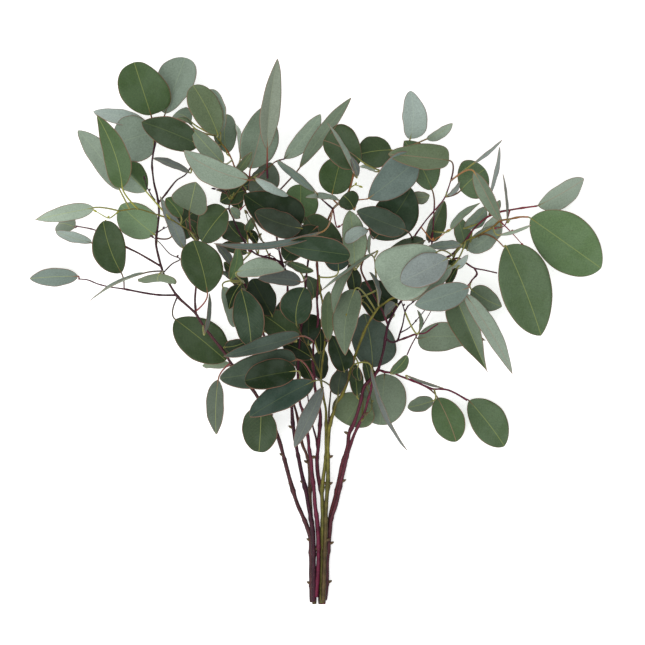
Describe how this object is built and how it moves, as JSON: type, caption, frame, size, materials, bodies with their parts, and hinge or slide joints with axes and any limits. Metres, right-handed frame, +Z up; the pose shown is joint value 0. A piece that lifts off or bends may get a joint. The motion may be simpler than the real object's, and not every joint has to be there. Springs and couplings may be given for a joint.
{
  "type": "eucalyptus branch bunch",
  "caption": "Bunch of cut eucalyptus stems lying down, round and lance-shaped leaves on thin twigs fanning out from a narrow bundle of cut ends.",
  "frame": {"origin": "on the surface it lies on, under the centre of the bunch's plan box", "axes": "+Z up, away from the surface; +Y from the cut ends towards the leafy end; +X to the right when seen from above"},
  "size_m": [0.5829, 0.558, 0.1667],
  "materials": {
    "far_left_foliage": "matt waxy leaf, dark green to grey-green, on purple-brown twigs",
    "left_foliage": "matt waxy leaf, grey-green with pale undersides, on dark purple twigs",
    "low_left_foliage": "matt waxy leaf, dark blue-green, on olive-brown twigs",
    "tall_foliage": "matt waxy leaf, dark green, on magenta-brown twigs",
    "middle_foliage": "matt waxy leaf, blue-grey to dark green, on brown-purple twigs",
    "slim_foliage": "matt waxy leaf, dark green, on olive twigs",
    "right_foliage": "matt waxy leaf, mid green to pale green, on yellow-olive twigs",
    "far_right_foliage": "matt waxy leaf, grey-green to olive, on brown-red twigs",
    "low_right_foliage": "matt waxy leaf, olive green, on dark purple twigs"
  },
  "bodies": {
    "root": {"stem_far_left": "far_left_foliage", "stem_left": "left_foliage", "stem_low_left": "low_left_foliage", "stem_tall": "tall_foliage", "stem_middle": "middle_foliage", "stem_slim": "slim_foliage", "stem_right": "right_foliage", "stem_far_right": "far_right_foliage", "stem_low_right": "low_right_foliage"}
  },
  "joints": []
}
